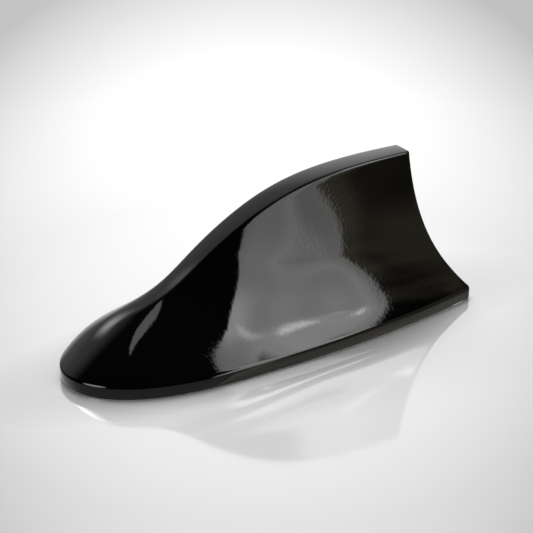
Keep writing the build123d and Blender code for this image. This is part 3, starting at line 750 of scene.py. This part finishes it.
class AERIAL_OT_cover(Operator):
    """Gloss black cover: a fine skin with a wall, screw bosses and a lacquered surface"""

    bl_idname = "aerial.cover"
    bl_label = "Fin cover"

    BOSSES = ((-0.0415, 0.0124), (-0.0415, -0.0124), (0.05, 0.0075), (0.05, -0.0075))
    BOSS_RADIUS = 0.003
    BOSS_BORE = 0.00138
    BOSS_FOOT = 0.003
    BOSS_BELOW_SKIN = 0.0009
    BOSS_SEGMENTS = 32
    BOSS_PROBES = 16

    def execute(self, context):
        shape = context.scene.aerial_shape
        skin = Skin(shape)
        paint = self.paint(context.scene.aerial_finishes)
        piece = add_piece("cover_skin", self.skin_mesh(skin), paint, "fin_cover")
        wall = piece.modifiers.new("wall", "SOLIDIFY")
        wall.thickness = shape.wall
        wall.offset = -1.0
        add_piece("cover_bosses", self.boss_mesh(skin), paint, None)
        dress(paint, "fin_cover")
        return {"FINISHED"}

    def paint(self, look):
        """Black gloss with a clear coat and a slight ripple."""
        paint = Finish("gloss_black_plastic")
        waves = paint.noise(look.peel_size, detail=1.0, roughness=0.4)
        cloud = paint.noise(width=0.02)
        paint.surface(
            Base_Color=colour(look.cover_colour),
            Roughness=paint.vary(cloud, look.cover_roughness * 0.7, look.cover_roughness * 1.3),
            Specular_IOR_Level=0.5,
            Coat_Weight=1.0,
            Coat_Roughness=0.015,
            Normal=paint.bump(waves, look.peel_depth),
        )
        return paint.material

    def skin_mesh(self, skin):
        """Both halves of the skin: side and trailing edge, rear face, and the tip of the nose."""
        mesh = bmesh.new()
        columns, rear = skin.columns()
        for sheet in (columns, rear, skin.tip_columns()):
            lay(mesh, sheet)
        bmesh.ops.remove_doubles(mesh, verts=mesh.verts, dist=WELD)
        bmesh.ops.dissolve_degenerate(mesh, edges=mesh.edges, dist=WELD)
        half = mesh.verts[:] + mesh.edges[:] + mesh.faces[:]
        bmesh.ops.mirror(mesh, geom=half, axis="Y", merge_dist=WELD)
        bmesh.ops.remove_doubles(mesh, verts=mesh.verts, dist=WELD)
        bmesh.ops.recalc_face_normals(mesh, faces=mesh.faces)
        return mesh

    def boss_mesh(self, skin):
        """Tubes for the base screws."""
        mesh = bmesh.new()
        for x, y in self.BOSSES:
            self.add_boss(mesh, x, y, self.boss_top(skin, x, abs(y)))
        bmesh.ops.recalc_face_normals(mesh, faces=mesh.faces)
        return mesh

    def boss_top(self, skin, x, y):
        """Height at which a boss ends inside the wall, all round its rim."""
        heights = []
        for i in range(self.BOSS_PROBES):
            around = 2 * math.pi * i / self.BOSS_PROBES
            rim_x = x + self.BOSS_RADIUS * math.cos(around)
            rim_y = y + self.BOSS_RADIUS * math.sin(around)
            heights.append(skin.height_at(rim_x / MM, rim_y / MM) * MM)
        return min(heights) - self.BOSS_BELOW_SKIN

    def add_boss(self, mesh, x, y, top):
        """Tube that a base screw bites into, from the plate to the roof of the cover."""
        foot, bore, radius = self.BOSS_FOOT, self.BOSS_BORE, self.BOSS_RADIUS
        points = ((bore, foot), (radius, foot), (radius, top), (bore, top))
        corners = [mesh.verts.new((x + r, y, z)) for r, z in points]
        edges = [mesh.edges.new((a, b)) for a, b in zip(corners, corners[1:] + corners[:1])]
        bmesh.ops.spin(
            mesh,
            geom=corners + edges,
            cent=(x, y, 0),
            axis=(0, 0, 1),
            angle=2 * math.pi,
            steps=self.BOSS_SEGMENTS,
            use_merge=True,
        )


class AERIAL_OT_base(Operator):
    """Grained base plate, rubber seal and grommet, and the adhesive foam"""

    bl_idname = "aerial.base"
    bl_label = "Base"

    def execute(self, context):
        look = context.scene.aerial_finishes
        self.plate(look)
        self.rubber(look)
        add_foam("foam_tape", look.pad_colour, 0.0009, 0.35, 0.9, "adhesive_pad")
        return {"FINISHED"}

    def plate(self, look):
        """Moulding with a fine matt grain."""
        plate = Finish("matte_black_plastic")
        grain = plate.noise(width=0.0006, detail=3.0, roughness=0.6)
        cloud = plate.noise(width=0.012)
        plate.surface(
            Base_Color=plate.mix(cloud, colour(look.base_colour), colour(look.base_colour, 1.5)),
            Roughness=plate.vary(grain, 0.48, 0.62),
            Normal=plate.bump(grain, depth=0.00004),
        )
        dress(plate.material, "base_plate")

    def rubber(self, look):
        """Soft rubber with a little dust."""
        rubber = Finish("black_rubber")
        dust = rubber.noise(width=0.006, detail=4.0, roughness=0.6)
        rubber.surface(
            Base_Color=rubber.mix(dust, colour(look.rubber_colour), colour(look.rubber_colour, 2.2)),
            Roughness=rubber.vary(dust, 0.62, 0.8),
            Normal=rubber.bump(rubber.noise(width=0.0004), depth=0.00002),
        )
        dress(rubber.material, "perimeter_seal", "cable_grommet")


class AERIAL_OT_screws(Operator):
    """Zinc plated screws"""

    bl_idname = "aerial.screws"
    bl_label = "Screws"

    def execute(self, context):
        zinc = Finish("zinc_steel")
        bloom = zinc.noise(width=0.0012, detail=3.0, roughness=0.6)
        zinc.surface(
            Base_Color=zinc.mix(bloom, (0.52, 0.54, 0.56, 1.0), (0.66, 0.66, 0.63, 1.0)),
            Metallic=1.0,
            Roughness=zinc.vary(bloom, 0.24, 0.4),
            Normal=zinc.bump(zinc.noise(width=0.0003), depth=0.000008),
        )
        dress(zinc.material, "base_screws", "board_screws", "carrier_screws")
        return {"FINISHED"}


class AERIAL_OT_board(Operator):
    """Amplifier board with its tracks, and the parts that stand on it"""

    bl_idname = "aerial.board"
    bl_label = "Circuit board"

    def execute(self, context):
        self.mask(context.scene.aerial_finishes)
        self.metal("tinned_brass", (0.62, 0.57, 0.46), (0.72, 0.69, 0.62), 0.3, "lead_posts")
        self.metal("tinned_steel", (0.58, 0.58, 0.57), (0.68, 0.68, 0.66), 0.26, "shield_can", "roof_plate")
        self.metal("can_aluminium", (0.72, 0.73, 0.74), (0.8, 0.8, 0.8), 0.3, "smoothing_capacitor")
        self.block("chip_epoxy", (0.016, 0.016, 0.017), 0.5, "amplifier_chip", "chip_resistors")
        self.block("ferrite", (0.045, 0.043, 0.042), 0.62, "supply_choke")
        self.block("chip_ceramic", (0.42, 0.31, 0.19), 0.42, "chip_capacitors")
        return {"FINISHED"}

    def mask(self, look):
        """Green solder mask over a pattern of tracks."""
        mask = Finish("green_board")
        inputs = {"Vector": mask.place(), "Scale": 1.0, "Mortar Size": 0.00022, "Mortar Smooth": 0.1}
        inputs.update({"Brick Width": 0.0052, "Row Height": 0.0021})
        tracks = mask.node("ShaderNodeTexBrick", {"offset": 0.37}, inputs, output="Fac")
        weave = mask.noise(width=0.0008)
        shade = mask.mix(weave, colour(look.mask_colour, 0.85), colour(look.mask_colour, 1.15))
        mask.surface(
            Base_Color=mask.mix(tracks, shade, colour(look.track_colour)),
            Roughness=mask.vary(weave, 0.22, 0.34),
            Normal=mask.bump(tracks + 0.2 * weave, depth=0.00003),
        )
        dress(mask.material, "circuit_board")

    def metal(self, name, dark, pale, roughness, *nodes):
        """Plated or drawn metal with faint clouds."""
        finish = Finish(name)
        cloud = finish.noise(width=0.003, detail=3.0, roughness=0.55)
        grain = finish.noise(width=0.0004, detail=1.0, spot=finish.place(scale=(1, 1, 0.15)))
        finish.surface(
            Base_Color=finish.mix(cloud, colour(dark), colour(pale)),
            Metallic=1.0,
            Roughness=finish.vary(grain, roughness - 0.06, roughness + 0.08),
            Normal=finish.bump(grain, depth=0.000005),
        )
        dress(finish.material, *nodes)

    def block(self, name, body, roughness, *nodes):
        """Moulded or pressed block with a fine grain."""
        finish = Finish(name)
        grain = finish.noise(width=0.0002, detail=3.0, roughness=0.6)
        finish.surface(
            Base_Color=finish.mix(grain, colour(body, 0.8), colour(body, 1.25)),
            Roughness=finish.vary(grain, roughness - 0.07, roughness + 0.09),
            Normal=finish.bump(grain, depth=0.00001),
        )
        dress(finish.material, *nodes)


class AERIAL_OT_radiator(Operator):
    """Coil, its former, the carrier and the foam dampers"""

    bl_idname = "aerial.radiator"
    bl_label = "Radiator"

    def execute(self, context):
        look = context.scene.aerial_finishes
        self.wire(look)
        self.resin(look)
        add_foam("grey_foam", look.damper_colour, 0.0007, 0.4, 0.95, "foam_dampers")
        return {"FINISHED"}

    def wire(self, look):
        """Copper under a clear lacquer."""
        wire = Finish("copper_wire")
        lacquer = wire.noise(width=0.0015, detail=3.0)
        wire.surface(
            Base_Color=wire.mix(lacquer, colour(look.copper_colour, 0.82), colour(look.copper_colour)),
            Metallic=1.0,
            Roughness=wire.vary(lacquer, 0.2, 0.32),
            Coat_Weight=0.6,
            Coat_Roughness=0.1,
        )
        dress(wire.material, "loading_coil")

    def resin(self, look):
        """Pale moulding with faint flow marks."""
        resin = Finish("white_plastic")
        flow = resin.noise(width=0.009)
        resin.surface(
            Base_Color=resin.mix(flow, colour(look.carrier_colour, 0.93), colour(look.carrier_colour)),
            Roughness=resin.vary(flow, 0.4, 0.5),
            Normal=resin.bump(resin.noise(width=0.0005), depth=0.00001),
        )
        dress(resin.material, "coil_former", "element_carrier")


def way(azimuth, elevation):
    """Direction at an angle from the front towards the right, and above the floor, in degrees."""
    a, e = math.radians(azimuth), math.radians(elevation)
    return (math.sin(a) * math.cos(e), -math.cos(a) * math.cos(e), math.sin(e))


class AERIAL_OT_stage(Operator):
    """Pale floor, studio lights and the camera"""

    bl_idname = "aerial.stage"
    bl_label = "Stage"

    # the camera looks at the aim, moved a little to its right and up
    CAMERA_AIM = (-0.0006, 0.0, 0.0254)
    CAMERA_RIGHT = 0.00024
    CAMERA_UP = 0.00121
    ROUND_SEGMENTS = 96
    FLOOR_RADIUS = 4.0
    WALL_RADIUS = 3.95
    WALL_HEIGHT = 6.0
    WALL_MIDDLE = 2.9
    # the floor's painted pool of light in slopes from the camera: how far below the aim, its two ends, its
    # falloff
    POOL_BELOW = 0.05
    POOL_ENDS = (0.07, 0.25)
    POOL_FALL = 1.6
    # no place on the floor counts as nearer to the camera than this
    POOL_NEAREST = 0.05
    # the floor's mirror fades out between these distances from the middle
    MIRROR_ENDS = (0.13, 0.28)
    MIRROR_BLUR = 0.07
    # the stronger mirror at the aerial's foot, painted contact shade that darkens the floor there, fades out
    # between these shares of its half sizes
    CONTACT_ENDS = (1.0, 1.5)
    LAMP_PLACE = (0.2, 0.65, 1.5)
    LAMP_SIZE = 1.5
    CARD_PLACE = (-0.078, 0.04, 0.066)
    CARD_BACK = (-0.13, 0.67, 0.72)
    CARD_SIZE = (0.058, 0.048)
    WARM_TINT = (1.1, 1.0, 0.72, 1.0)

    def execute(self, context):
        scene = context.scene
        camera = self.add_camera(scene)
        self.add_floor(scene, camera)
        self.add_backdrop(scene)
        self.add_sky(scene)
        self.add_lamp(scene)
        self.add_card(scene)
        scene.view_settings.view_transform = "Standard"
        return {"FINISHED"}

    def add_camera(self, scene):
        """Camera at its angles and its distance from the aim."""
        stage = scene.aerial_stage
        around, rise = stage.camera_turn, stage.camera_rise
        back = Vector((math.sin(around) * math.cos(rise), -math.cos(around) * math.cos(rise), math.sin(rise)))
        right = Vector((math.cos(around), math.sin(around), 0.0))
        up = back.cross(right)
        lens = bpy.data.cameras.new("camera")
        lens.sensor_width = 36.0
        lens.lens = stage.lens
        lens.clip_start = 0.01
        camera = bpy.data.objects.new("camera", lens)
        scene.collection.objects.link(camera)
        aim = Vector(self.CAMERA_AIM) + right * self.CAMERA_RIGHT + up * self.CAMERA_UP
        camera.location = aim + back * stage.camera_distance
        camera.rotation_mode = "QUATERNION"
        camera.rotation_quaternion = Matrix((right, up, back)).transposed().to_quaternion()
        scene.camera = camera
        return camera

    def add_floor(self, scene, camera):
        """Glossy pale floor, painted brightest in a pool of light that is round as seen from the camera's
        place, and painted darker as shade outside it.
        """
        stage = scene.aerial_stage
        sheet = bmesh.new()
        bmesh.ops.create_circle(sheet, cap_ends=True, radius=self.FLOOR_RADIUS, segments=self.ROUND_SEGMENTS)
        floor = self.add_sheet(scene, "floor", sheet)
        floor.visible_glossy = False
        paper = Finish("pale_floor")
        edge = self.painted_pool_edge(paper, stage, camera.location)
        x, y = paper.axes(paper.place())[:2]
        mirror = stage.floor_gloss * (1 - paper.fit((x * x + y * y) ** 0.5, *self.MIRROR_ENDS))
        shape = scene.aerial_shape
        x, y = x / (shape.length / 2), y / (shape.width / 2)
        # painted contact shade: the floor mirrors the dark aerial more near its foot, which darkens it there
        contact_shade = 1 - paper.fit((x * x + y * y) ** 0.5, *self.CONTACT_ENDS)
        mirror = mirror + stage.floor_contact_shade * contact_shade
        # painted pool of light and painted shade: the diffuse colour goes from the pale inner colour to the
        # darker outer one
        inner = paper.node("ShaderNodeBsdfDiffuse", None, {"Color": colour(stage.floor_colour)})
        outer = paper.node("ShaderNodeBsdfDiffuse", None, {"Color": colour(stage.floor_painted_falloff)})
        diffuse = paper.node("ShaderNodeMixShader", None, {0: edge, 1: inner, 2: outer})
        gloss = paper.node("ShaderNodeBsdfGlossy", None, {"Color": grey(1.0), "Roughness": self.MIRROR_BLUR})
        paper.close(paper.node("ShaderNodeMixShader", None, {0: mirror, 1: diffuse, 2: gloss}))
        floor.data.materials.append(paper.material)

    def add_sheet(self, scene, name, sheet):
        """Makes an object of a sheet of the stage."""
        mesh = bpy.data.meshes.new(name)
        sheet.to_mesh(mesh)
        sheet.free()
        made = bpy.data.objects.new(name, mesh)
        scene.collection.objects.link(made)
        return made

    def painted_pool_edge(self, paper, stage, eye):
        """0 in the middle of the floor's painted pool of light and 1 outside it, by slopes from the camera's
        place.
        """
        around, rise = stage.camera_turn, stage.camera_rise
        x, y = paper.axes(paper.place(shift=(-eye.x, -eye.y, 0.0)))[:2]
        side = x * math.cos(around) + y * math.sin(around)
        ahead = y * math.cos(around) - x * math.sin(around)
        depth = ahead * math.cos(rise) + eye.z * math.sin(rise) | self.POOL_NEAREST
        high = (ahead * math.sin(rise) - eye.z * math.cos(rise)) / depth + self.POOL_BELOW
        side = side / depth
        return paper.fit((side * side + high * high) ** 0.5, *self.POOL_ENDS) ** self.POOL_FALL

    def add_backdrop(self, scene):
        """Round wall inside the floor's edge that only the camera sees."""
        sheet = bmesh.new()
        bmesh.ops.create_cone(
            sheet,
            cap_ends=False,
            segments=self.ROUND_SEGMENTS,
            radius1=self.WALL_RADIUS,
            radius2=self.WALL_RADIUS,
            depth=self.WALL_HEIGHT,
        )
        bmesh.ops.translate(sheet, vec=(0.0, 0.0, self.WALL_MIDDLE), verts=sheet.verts)
        wall = self.add_sheet(scene, "backdrop", sheet)
        wall.visible_glossy = False
        wall.visible_diffuse = False
        wall.visible_shadow = False
        plain = Finish("pale_wall")
        plain.close(plain.node("ShaderNodeEmission", None, {"Color": colour(scene.aerial_stage.wall_colour)}))
        wall.data.materials.append(plain.material)

    def add_sky(self, scene):
        """Dark studio that the gloss mirrors, made of soft lights by their directions."""
        stage = scene.aerial_stage
        world = bpy.data.worlds.new("studio")
        world.use_nodes = True
        scene.world = world
        sky = Nodes(world.node_tree)
        spot = sky.node("ShaderNodeTexCoord", output="Generated")
        x, y, z = sky.axes(spot)
        # a direction towards the front as slopes across and up
        ahead = -y | 0.02
        across, rise = x / ahead, z / ahead
        facing = sky.step(-y, 0.02, 0.1)
        # the tall light's sides, which lean to the right as they rise, and the part of the way between them
        left = 0.339 + 0.37 * (rise - 0.04 | 0.0) & 0.8 - 0.25 * ((rise & 1.9) - 1.5 | 0.0)
        right = 0.6 + 0.565 * (rise - 0.07 | 0.0) + 0.135 * (rise - 0.8 | 0.0)
        part = (across - left) / (right - left)
        strip = self.tall_light(sky, part, rise) * facing * stage.strip_light
        wall = self.back_wall(sky, spot) * stage.back_light
        warm = self.warm_patch(sky, spot, part, rise) * facing
        # pale below, more so behind, and a bright patch level with the floor beyond the nose
        under = sky.step(-z, 0.4, 0.48) * (0.16 + 0.2 * sky.step(y, 0.2, 0.9))
        level = 2.0 * sky.step(sky.along(spot, way(-75, -3)), 0.94, 0.97)
        total = strip + wall + self.top_card(sky, x, y, z) + under + level + warm
        tint = sky.mix(warm / (total + 0.0001), grey(1.0), self.WARM_TINT)
        light = sky.node("ShaderNodeBackground", None, {"Color": tint, "Strength": total})
        sky.node("ShaderNodeOutputWorld", None, {"Surface": light})

    def tall_light(self, sky, part, rise):
        """Tall light ahead and to the right, by the part between its sides and the slope up."""
        sides = sky.step(part, -0.04, 0.04) * (1 - sky.step(part, 0.96, 1.04))
        band = sides * sky.step(rise, -0.5, -0.4)
        # brighter in steps upwards, with a paler stripe to the right of its middle
        glow = 1.15 + 0.35 * sky.step(rise, -0.3, 0.1)
        glow = glow + 0.2 * sky.step(rise, 0.2, 0.7) + 0.4 * sky.step(rise, 1.2, 1.9)
        glow = glow + 0.22 * sky.ridge(part, 0.75, 0.11)
        # a bright area on the left, and a slanting and an upright streak near the top
        area = (1 - sky.step(part, 0.2, 0.62)) * sky.step(rise, 0.3, 0.95) * (1 - sky.step(rise, 1.3, 1.6))
        slant = 1.5 * sky.ridge(part, 0.42, 0.34) * sky.ridge(rise - part, 1.02, 0.14)
        streak = 3.0 * sky.ridge(part - 0.05 * rise, 0.675, 0.055) * sky.ridge(rise, 1.85, 0.5)
        # dimmer at the top left, twice over, along the right side and at the bottom left
        top = 1 - 0.75 * sky.step(rise, 1.9, 2.1) * (1 - sky.step(part, 0.45, 0.62))
        fade = 1 - sky.step(rise, 1.42, 1.8) * (1 - sky.fit(part, -0.1, 0.55, 0.15, 1.0))
        side = 1 - 0.22 * sky.step(part - 0.3 * ((rise | -0.3) & 0.1), 0.83, 0.9)
        side = side - 0.15 * (1 - sky.step(part, 0.0, 0.35)) * (1 - sky.step(rise, 0.0, 0.4))
        return band * (glow + 0.8 * area + slant + streak) * top * fade * side

    def warm_patch(self, sky, spot, part, rise):
        """Dim cloudy wall to the right of the tall light, brightest next to it low down."""
        clouds = sky.fit(sky.noise(width=0.3, spot=spot), 0.38, 0.62, 0.4, 1.8)
        near = 0.13 * (1 - sky.step(rise, 0.25, 0.55)) * (1 - sky.step(part, 1.1, 1.35))
        return sky.step(part, 0.9, 1.0) * (near + 0.075 * clouds * (1 - sky.step(rise, 1.0, 2.4)))

    def back_wall(self, sky, spot):
        """Pale wall behind: bright low down on the right, broad and dimmer above."""
        low = 0.9 * sky.fit(sky.along(spot, way(150, 5)), 0.5, 1.0) ** 3
        broad = 0.24 * sky.step(sky.along(spot, way(195, 35)), 0.6, 0.92)
        return low | broad

    def top_card(self, sky, x, y, z):
        """Small card overhead with slanting front and rear sides, which the spine mirrors."""
        rear = sky.step(-y - (0.16 - 1.2 * x | 0.11), -0.015, 0.015)
        front = 1 - sky.step(-y + 0.6 * x, 0.285, 0.315)
        ends = (1 - sky.step(x, 0.11, 0.135)) * sky.step(x, -0.2, -0.14)
        return 0.9 * rear * front * ends * sky.step(z, 0.6, 0.7)

    def add_lamp(self, scene):
        """Wide lamp overhead that the gloss doesn't mirror."""
        lamp = bpy.data.lights.new("overhead", "AREA")
        lamp.shape = "SQUARE"
        lamp.size = self.LAMP_SIZE
        lamp.energy = scene.aerial_stage.lamp_power
        overhead = self.hang(scene, lamp, self.LAMP_PLACE, self.LAMP_PLACE)
        overhead.visible_glossy = False

    def hang(self, scene, lamp, place, back):
        """Puts up a lamp that the camera doesn't see, with its back turned in a direction."""
        hung = bpy.data.objects.new(lamp.name, lamp)
        scene.collection.objects.link(hung)
        hung.location = place
        hung.rotation_mode = "QUATERNION"
        hung.rotation_quaternion = Vector(back).to_track_quat("Z", "Y")
        hung.visible_camera = False
        return hung

    def add_card(self, scene):
        """Small soft light that only the cover mirrors, on the far side of its nose."""
        lamp = bpy.data.lights.new("nose_card", "AREA")
        lamp.shape = "RECTANGLE"
        lamp.size, lamp.size_y = self.CARD_SIZE
        lamp.energy = scene.aerial_stage.card_light * math.pi * lamp.size * lamp.size_y
        lamp.use_nodes = True
        glow = Nodes(lamp.node_tree)
        x, y = glow.axes(glow.node("ShaderNodeNewGeometry", output="Parametric"))[:2]
        soft = glow.ridge(x, 0.5, 0.5) * glow.ridge(y, 0.5, 0.5)
        light = glow.node("ShaderNodeEmission", None, {"Color": grey(1.0), "Strength": soft})
        glow.node("ShaderNodeOutputLight", None, {"Surface": light})
        card = self.hang(scene, lamp, self.CARD_PLACE, self.CARD_BACK)
        card.visible_diffuse = False
        cover = bpy.data.collections.new("lit_by_nose_card")
        cover.objects.link(bpy.data.objects["cover_skin"])
        card.light_linking.receiver_collection = cover


class AERIAL_PT_sidebar(Panel):
    """The aerial's pieces, sizes, finishes and stage"""

    bl_idname = "AERIAL_PT_sidebar"
    bl_label = "Shark fin aerial"
    bl_space_type = "VIEW_3D"
    bl_region_type = "UI"
    bl_category = "Aerial"

    def draw(self, context):
        scene = context.scene
        for group in (scene.aerial_shape, scene.aerial_finishes, scene.aerial_stage):
            box = self.layout.box()
            for key in group.__annotations__:
                box.prop(group, key)
        for operator in OPERATORS:
            self.layout.operator(operator.bl_idname)


OPERATORS = (
    AERIAL_OT_cover,
    AERIAL_OT_base,
    AERIAL_OT_screws,
    AERIAL_OT_board,
    AERIAL_OT_radiator,
    AERIAL_OT_stage,
)
CLASSES = (AerialShape, AerialFinishes, AerialStage, *OPERATORS, AERIAL_PT_sidebar)


def register():
    for item in CLASSES:
        bpy.utils.register_class(item)
    bpy.types.Scene.aerial_shape = PointerProperty(type=AerialShape)
    bpy.types.Scene.aerial_finishes = PointerProperty(type=AerialFinishes)
    bpy.types.Scene.aerial_stage = PointerProperty(type=AerialStage)


def unregister():
    del bpy.types.Scene.aerial_stage
    del bpy.types.Scene.aerial_finishes
    del bpy.types.Scene.aerial_shape
    for item in reversed(CLASSES):
        bpy.utils.unregister_class(item)


def main():
    register()
    bpy.ops.aerial.cover()
    bpy.ops.aerial.base()
    bpy.ops.aerial.screws()
    bpy.ops.aerial.board()
    bpy.ops.aerial.radiator()
    bpy.ops.aerial.stage()


if __name__ == "__main__":
    main()
